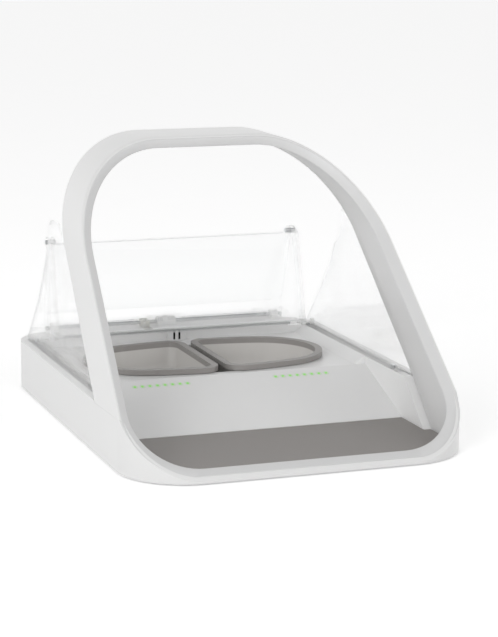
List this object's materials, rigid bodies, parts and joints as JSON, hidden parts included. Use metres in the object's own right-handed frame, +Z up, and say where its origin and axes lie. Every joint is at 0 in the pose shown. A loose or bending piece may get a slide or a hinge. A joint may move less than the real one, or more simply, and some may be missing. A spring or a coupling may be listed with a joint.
{
  "type": "automatic pet feeder",
  "caption": "Tag-reading pet feeder: raked tunnel hoop, weighing bowls under a clear motorised folding lid, clear side screens, sloping deck with status lights.",
  "frame": {"origin": "middle of the footprint, on the surface that the feeder stands on", "axes": "+X to the right seen from the front, +Y to the back, +Z up"},
  "size_m": [0.232, 0.318, 0.191],
  "materials": {
    "white_plastic": "satin white moulding",
    "lip_plastic": "satin light grey moulding",
    "mat_vinyl": "fine matt warm grey",
    "bowl_plastic": "matt warm grey moulding",
    "clear_plastic": "clear polished",
    "steel": "bright zinc",
    "nylon": "natural nylon",
    "board": "green solder resist",
    "light": "green diffused lens, lit",
    "dark_plastic": "dark infrared window",
    "rubber": "matt black rubber",
    "seal_silicone": "translucent pale silicone",
    "copper": "enamelled copper winding",
    "cell_wrap": "printed-free dark grey wrap",
    "button_plastic": "satin grey"
  },
  "bodies": {
    "base": {"lower_body": "white_plastic", "upper_housing": "white_plastic", "hoop_shell": "white_plastic", "hoop_liner": "lip_plastic", "antenna_coil": "copper", "bowl_left": "bowl_plastic", "bowl_right": "bowl_plastic", "scale_platform_left": "steel", "scale_platform_right": "steel", "load_cell_left": "steel", "load_cell_right": "steel", "screen_left": "clear_plastic", "screen_right": "clear_plastic", "screen_screws": "steel", "sensor_post": "white_plastic", "ir_windows": "dark_plastic", "status_leds_left": "light", "status_leds_right": "light", "led_board": "board", "main_board": "board", "lid_motor": "steel", "gear_bracket": "nylon", "button_board": "board", "battery_cells": "cell_wrap", "battery_contacts": "steel", "rubber_feet": "rubber", "case_screws": "steel"},
    "lid_rear": {"lid_rear_panel": "clear_plastic", "lid_drive_shaft": "steel", "lid_sector_gear": "nylon"},
    "lid_front": {"lid_front_panel": "clear_plastic", "lid_knuckle_pins": "steel", "lid_shoes": "white_plastic", "lid_edge_seal": "seal_silicone"},
    "idler": {"idler_gear": "nylon"},
    "motor_rotor": {"motor_pinion": "nylon"},
    "mat": {"mat": "mat_vinyl"},
    "door_left": {"battery_door_left": "white_plastic"},
    "door_right": {"battery_door_right": "white_plastic"},
    "push_open": {"button_open": "button_plastic"},
    "push_add": {"button_add": "button_plastic"},
    "push_zero": {"button_zero": "button_plastic"}
  },
  "joints": [
    {"name": "lid_hinge", "type": "hinge", "parent": "base", "child": "lid_rear", "pos_m": [0, 0.15, 0.04], "axis": [1, 0, 0], "range_deg": [0, 73]},
    {"name": "lid_knuckle", "type": "hinge", "parent": "lid_rear", "child": "lid_front", "pos_m": [0, 0.13188, 0.10761], "axis": [1, 0, 0], "range_deg": [-146.5, 0]},
    {"name": "idler_spin", "type": "hinge", "parent": "base", "child": "idler", "pos_m": [0, 0.1435, 0.02874], "axis": [1, 0, 0], "range_deg": [-164.75, 0]},
    {"name": "motor_spin", "type": "hinge", "parent": "base", "child": "motor_rotor", "pos_m": [0, 0.13507, 0.02481], "axis": [1, 0, 0], "range_deg": [0, 345.42]},
    {"name": "mat_lift", "type": "slide", "parent": "base", "child": "mat", "axis": [0, 0, 1], "range_m": [0, 0.03]},
    {"name": "door_left_slide", "type": "slide", "parent": "base", "child": "door_left", "axis": [0, -1, 0], "range_m": [0, 0.012]},
    {"name": "door_right_slide", "type": "slide", "parent": "base", "child": "door_right", "axis": [0, -1, 0], "range_m": [0, 0.012]},
    {"name": "push_open_press", "type": "slide", "parent": "base", "child": "push_open", "axis": [0, -1, 0], "range_m": [0, 0.0012], "stiffness_N_per_m": 300, "springref_m": -0.002},
    {"name": "push_add_press", "type": "slide", "parent": "base", "child": "push_add", "axis": [0, -1, 0], "range_m": [0, 0.0012], "stiffness_N_per_m": 300, "springref_m": -0.002},
    {"name": "push_zero_press", "type": "slide", "parent": "base", "child": "push_zero", "axis": [0, -1, 0], "range_m": [0, 0.0012], "stiffness_N_per_m": 300, "springref_m": -0.002}
  ],
  "couplings": [
    {"joint": "lid_knuckle", "follows": "lid_hinge", "ratio": -2},
    {"joint": "idler_spin", "follows": "lid_hinge", "ratio": -2.25},
    {"joint": "motor_spin", "follows": "lid_hinge", "ratio": 4.725}
  ]
}
